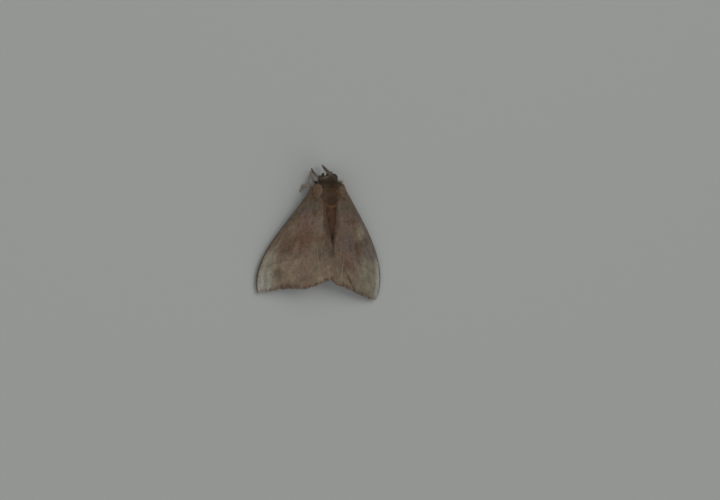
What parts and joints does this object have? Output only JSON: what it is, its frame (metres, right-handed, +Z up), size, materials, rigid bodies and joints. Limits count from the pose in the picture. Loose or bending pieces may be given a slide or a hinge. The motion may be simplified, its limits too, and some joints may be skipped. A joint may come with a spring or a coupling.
{
  "type": "moth",
  "caption": "Life-size still model of a brown moth at rest, its hook-tipped wings closed over its back like a low roof, standing on its feet.",
  "frame": {"origin": "on the floor, under the middle of the moth's bounding box", "axes": "+Z up from the floor, the head towards -Y, the moth's left side towards +X"},
  "size_m": [0.0245, 0.0242, 0.0049],
  "materials": {
    "forewing_scales": "matt wing scales, brown with tan and rust marks",
    "hindwing_scales": "matt, plainer and paler than the forewing",
    "body_hair": "long soft dark brown hair",
    "abdomen_hair": "short dark red-brown hair",
    "head_hair": "short very dark brown hair",
    "eye": "glossy near-black compound eye",
    "antenna": "brown shaft with fine side branches",
    "leg_scales": "close grey-brown scales"
  },
  "bodies": {
    "root": {"thorax": "body_hair", "abdomen": "abdomen_hair", "head": "head_hair", "eye_left": "eye", "eye_right": "eye", "antenna_left": "antenna", "antenna_right": "antenna", "palp_left": "head_hair", "palp_right": "head_hair", "forewing_left": "forewing_scales", "forewing_right": "forewing_scales", "hindwing_left": "hindwing_scales", "hindwing_right": "hindwing_scales", "foreleg_femur_left": "leg_scales", "foreleg_tibia_left": "leg_scales", "foreleg_tarsus_left": "leg_scales", "foreleg_femur_right": "leg_scales", "foreleg_tibia_right": "leg_scales", "foreleg_tarsus_right": "leg_scales", "midleg_femur_left": "leg_scales", "midleg_tibia_left": "leg_scales", "midleg_tarsus_left": "leg_scales", "midleg_femur_right": "leg_scales", "midleg_tibia_right": "leg_scales", "midleg_tarsus_right": "leg_scales", "hindleg_femur_left": "leg_scales", "hindleg_tibia_left": "leg_scales", "hindleg_tarsus_left": "leg_scales", "hindleg_femur_right": "leg_scales", "hindleg_tibia_right": "leg_scales", "hindleg_tarsus_right": "leg_scales"}
  },
  "joints": []
}
